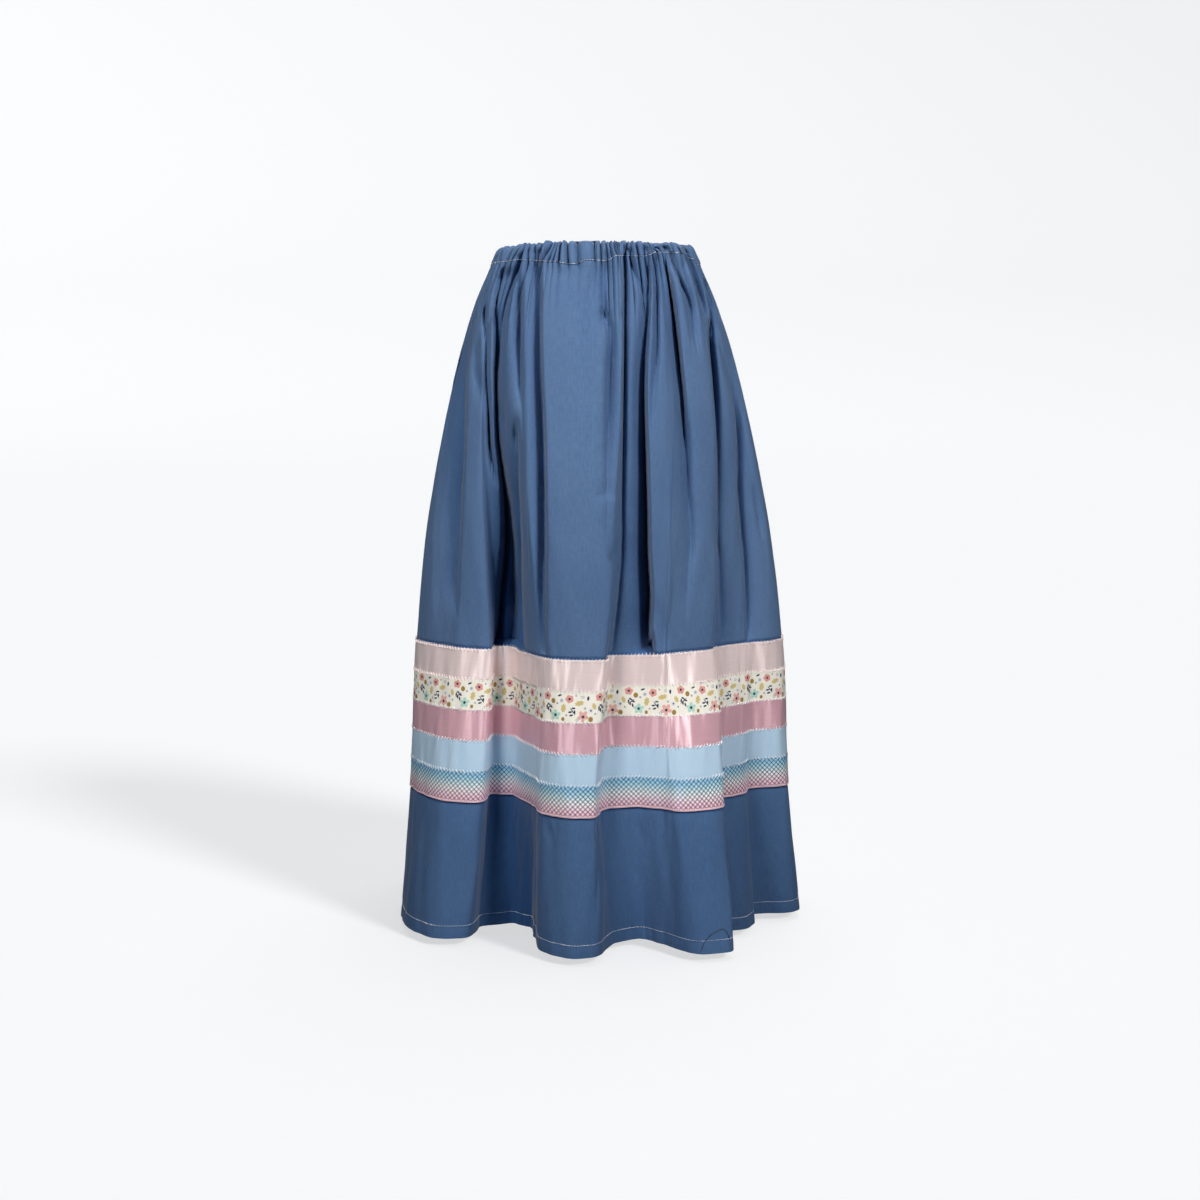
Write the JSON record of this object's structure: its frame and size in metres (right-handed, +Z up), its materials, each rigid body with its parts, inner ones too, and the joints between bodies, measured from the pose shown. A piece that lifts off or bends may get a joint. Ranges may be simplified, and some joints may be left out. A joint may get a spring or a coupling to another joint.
{
  "type": "ribbon skirt",
  "caption": "Long gathered cotton skirt, filled out as worn, with an elastic waist and rows of ribbon above the hem.",
  "frame": {"origin": "middle of the waist's top edge, where the wearer holds the skirt up", "axes": "+Z up out of the waist, -Y the front of the skirt, +X the wearer's left side"},
  "size_m": [0.529, 0.512, 0.8457],
  "materials": {
    "blue_cotton": "matt plain-weave cotton",
    "pale_pink_satin": "satin ribbon with a soft gloss",
    "flower_print_cotton": "matt printed cotton ribbon",
    "dusty_rose_satin": "satin ribbon with a soft gloss",
    "light_blue_ribbon": "matt fine-ribbed ribbon",
    "scale_net_ribbon": "printed ribbon shaded from blue to pink"
  },
  "bodies": {
    "root": {"waist_casing": "blue_cotton", "front_panel": "blue_cotton", "back_panel": "blue_cotton", "ribbon_pale_pink": "pale_pink_satin", "ribbon_flower_print": "flower_print_cotton", "ribbon_dusty_rose": "dusty_rose_satin", "ribbon_light_blue": "light_blue_ribbon", "ribbon_scale_net": "scale_net_ribbon"}
  },
  "joints": []
}
